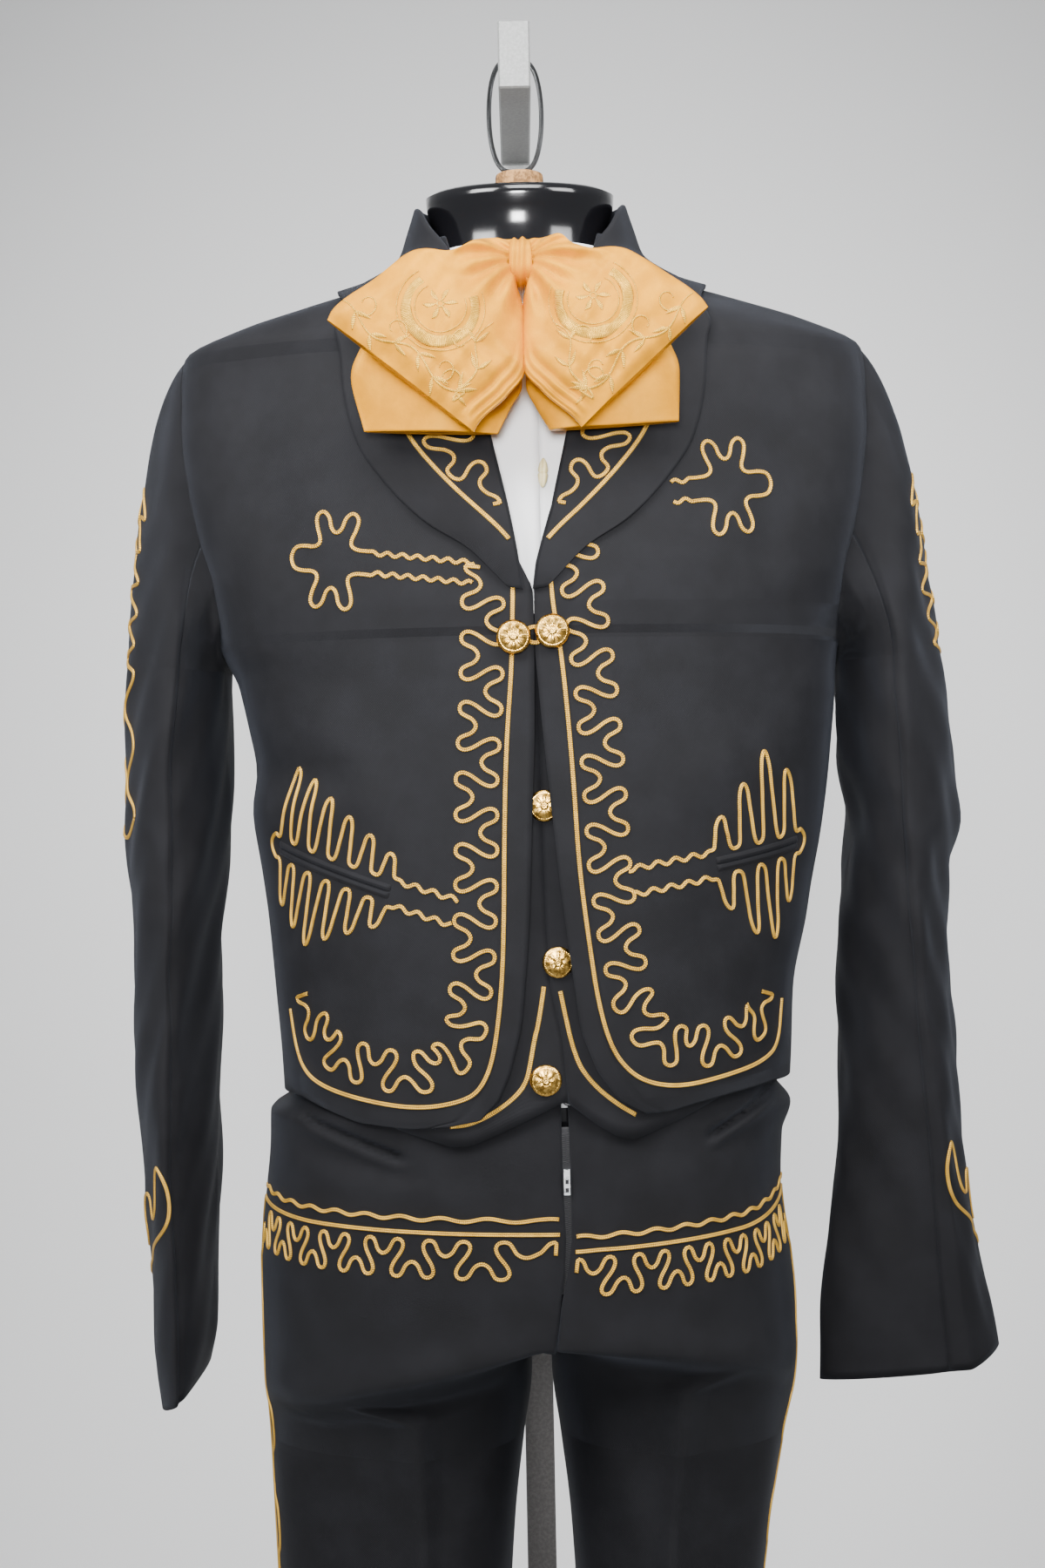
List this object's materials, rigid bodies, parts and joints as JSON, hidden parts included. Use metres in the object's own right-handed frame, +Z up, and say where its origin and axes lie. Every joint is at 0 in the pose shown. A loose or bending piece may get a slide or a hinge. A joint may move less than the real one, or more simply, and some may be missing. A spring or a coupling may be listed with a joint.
{
  "type": "charro suit on a dress form stand",
  "caption": "Black charro suit with gold braid: short jacket, vest, trousers, shirt front and wide bow tie on a limbless torso form hung from a pole stand.",
  "frame": {"origin": "on the floor under the middle of the whole, at the underside of the stand's base plate", "axes": "+Z up, the suit faces -Y, the wearer's left side is +X"},
  "size_m": [0.5737, 0.4665, 1.69],
  "materials": {
    "jacket_twill": "black wool twill with a slight sheen",
    "trouser_twill": "black wool twill, pressed creases",
    "vest_twill": "black wool twill",
    "gold_braid": "metallic gold soutache cord",
    "gilt_metal": null,
    "white_cotton": "plain white cotton",
    "gold_satin": "mustard-gold satin with tonal embroidery",
    "toggle_wood": "light varnished wood",
    "zip_cloth": "woven zip tape",
    "zip_metal": "plated zinc",
    "form_gloss": "black gloss",
    "stand_steel": "light grey metallic coat",
    "cable_steel": "dark braided steel wire"
  },
  "bodies": {
    "suit_and_stand": {"bow_knot": "gold_satin", "bow_lower": "gold_satin", "bow_neckband": "gold_satin", "bow_upper": "gold_satin", "button_link": "gold_braid", "cable_loop": "cable_steel", "chest_clover_left": "gold_braid", "chest_clover_right": "gold_braid", "cuff_band_left": "gold_braid", "cuff_band_right": "gold_braid", "edge_line_left": "gold_braid", "edge_line_right": "gold_braid", "front_loops_left": "gold_braid", "front_loops_right": "gold_braid", "jacket_back": "jacket_twill", "jacket_button_left": "gilt_metal", "jacket_button_right": "gilt_metal", "jacket_front_left": "jacket_twill", "jacket_front_right": "jacket_twill", "lapel_braid_left": "gold_braid", "lapel_braid_right": "gold_braid", "pocket_fan_left": "gold_braid", "pocket_fan_right": "gold_braid", "pocket_welt_left": "jacket_twill", "pocket_welt_right": "jacket_twill", "pole_stand": "stand_steel", "shawl_collar_left": "jacket_twill", "shawl_collar_right": "jacket_twill", "shirt_back": "white_cotton", "shirt_collar": "white_cotton", "shirt_front_left": "white_cotton", "shirt_front_right": "white_cotton", "shirt_toggle": "toggle_wood", "sleeve_band_left": "gold_braid", "sleeve_band_right": "gold_braid", "top_sleeve_left": "jacket_twill", "top_sleeve_right": "jacket_twill", "torso_form": "form_gloss", "trouser_back_left": "trouser_twill", "trouser_back_right": "trouser_twill", "trouser_front_left": "trouser_twill", "trouser_front_right": "trouser_twill", "trouser_waistband": "trouser_twill", "under_sleeve_left": "jacket_twill", "under_sleeve_right": "jacket_twill", "vest_back": "vest_twill", "vest_button_1": "gilt_metal", "vest_button_2": "gilt_metal", "vest_button_3": "gilt_metal", "vest_front_left": "vest_twill", "vest_front_right": "vest_twill", "vest_line_left": "gold_braid", "vest_line_right": "gold_braid", "yoke_line_left": "gold_braid", "yoke_line_right": "gold_braid", "yoke_loops_left": "gold_braid", "yoke_loops_right": "gold_braid", "zip_slider": "zip_metal", "zip_tape": "zip_cloth"},
    "zip_pull": {"zip_pull_tab": "zip_metal"}
  },
  "joints": [
    {"name": "zip_pull_swing", "type": "hinge", "parent": "suit_and_stand", "child": "zip_pull", "pos_m": [0, -0.1786, 0.9443], "axis": [-1, 0, 0], "range_deg": [0, 150]}
  ]
}
